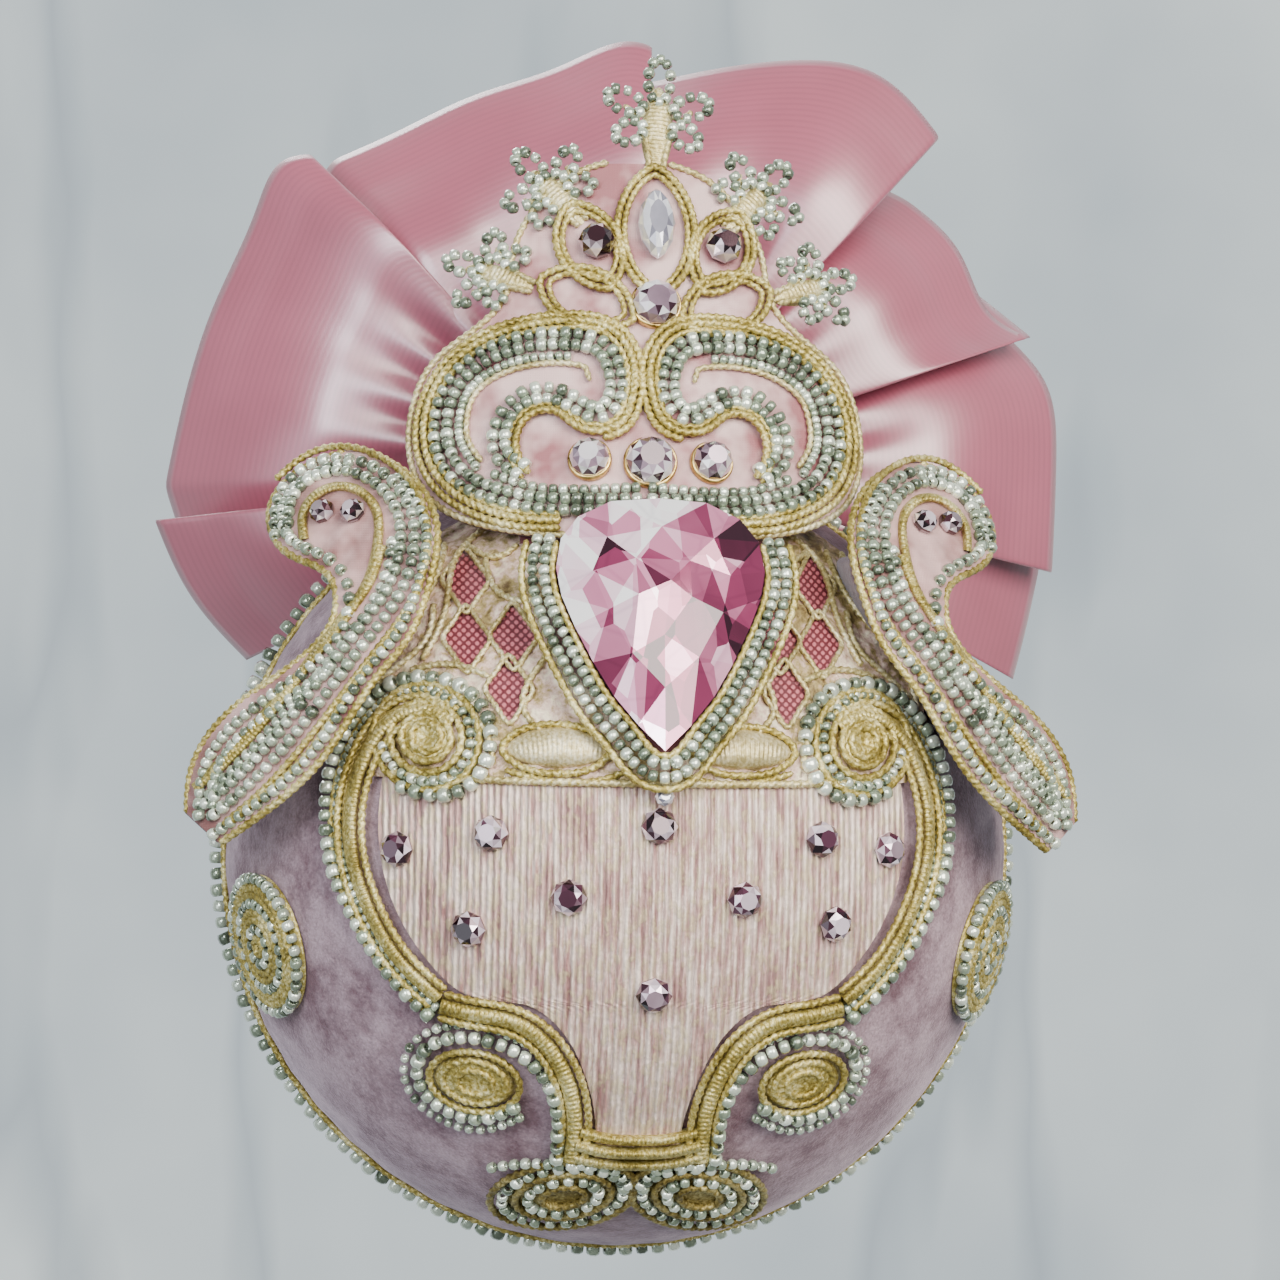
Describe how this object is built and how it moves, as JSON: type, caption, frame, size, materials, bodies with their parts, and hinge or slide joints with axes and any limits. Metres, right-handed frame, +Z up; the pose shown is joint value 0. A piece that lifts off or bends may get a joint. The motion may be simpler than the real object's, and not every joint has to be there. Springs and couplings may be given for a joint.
{
  "type": "christmas ornament",
  "caption": "Embroidered velvet hanging ball with a brocade shield panel, lace yoke, beaded crown, side wings and a satin ribbon fan, on a metal ring.",
  "frame": {"origin": "centre of the hanging ring's large hole, at the ring's middle", "axes": "+Z up, -Y towards the decorated front, +X to the viewer's right; the ring's holes run along X"},
  "size_m": [0.122, 0.1066, 0.1613],
  "materials": {
    "beads": "silver-lined green glass seed beads",
    "brocade": "gold and pink ribbed brocade",
    "clear_stone": "foiled clear rhinestone",
    "crown_cloth": "pale pink satin",
    "felt": "felt",
    "foam": "expanded polystyrene foam",
    "gold_lace": "gold lace",
    "gold_thread": "gold metallic satin stitch and cord",
    "metal": "gold-plated steel",
    "pink_net": "dark pink net",
    "pink_stone": "faceted acrylic, foil backed",
    "ribbon": "pink satin ribbon",
    "velvet": "mauve velvet"
  },
  "bodies": {
    "hanger": {"hanging_ring": "metal"},
    "ornament": {"base_band": "gold_thread", "base_scroll_left": "beads", "base_scroll_right": "beads", "bead_cap": "metal", "bead_trim": "beads", "brocade_panel": "brocade", "crown_beads_left": "beads", "crown_beads_right": "beads", "crown_fabric": "crown_cloth", "crown_felt": "felt", "crown_marquise": "clear_stone", "crown_pad": "felt", "crown_round_stones": "clear_stone", "crown_scroll_left": "gold_thread", "crown_scroll_right": "gold_thread", "drop_bead": "beads", "drop_edging": "beads", "drop_setting": "felt", "drop_stone": "pink_stone", "eye_screw": "metal", "finial_lower_left": "beads", "finial_lower_right": "beads", "finial_top": "beads", "finial_upper_left": "beads", "finial_upper_right": "beads", "foam_core": "foam", "leaf_pad_left": "gold_thread", "leaf_pad_right": "gold_thread", "lower_beads": "beads", "lower_rosettes": "gold_thread", "lower_scroll_left": "gold_thread", "lower_scroll_right": "gold_thread", "palmette_cords": "gold_thread", "palmette_stones": "clear_stone", "panel_rhinestones": "clear_stone", "rail_beads": "beads", "ribbon_ruffle": "ribbon", "ruffle_backing": "felt", "seam_piping": "gold_thread", "shield_rail_left": "gold_thread", "shield_rail_right": "gold_thread", "side_rosette_left": "beads", "side_rosette_right": "beads", "velvet_back": "velvet", "velvet_front": "velvet", "volute_beads": "beads", "volute_eyes": "gold_thread", "wing_backing_left": "felt", "wing_backing_right": "felt", "wing_beads_left": "beads", "wing_beads_right": "beads", "wing_cords_left": "gold_thread", "wing_cords_right": "gold_thread", "wing_pads": "felt", "wing_stones": "clear_stone", "yoke_lace": "gold_lace", "yoke_net": "pink_net"}
  },
  "joints": [
    {"name": "ring_swing", "type": "hinge", "parent": "hanger", "child": "ornament", "pos_m": [0, 0, -0.009], "axis": [0, 1, 0], "range_deg": [-80, 80]}
  ]
}
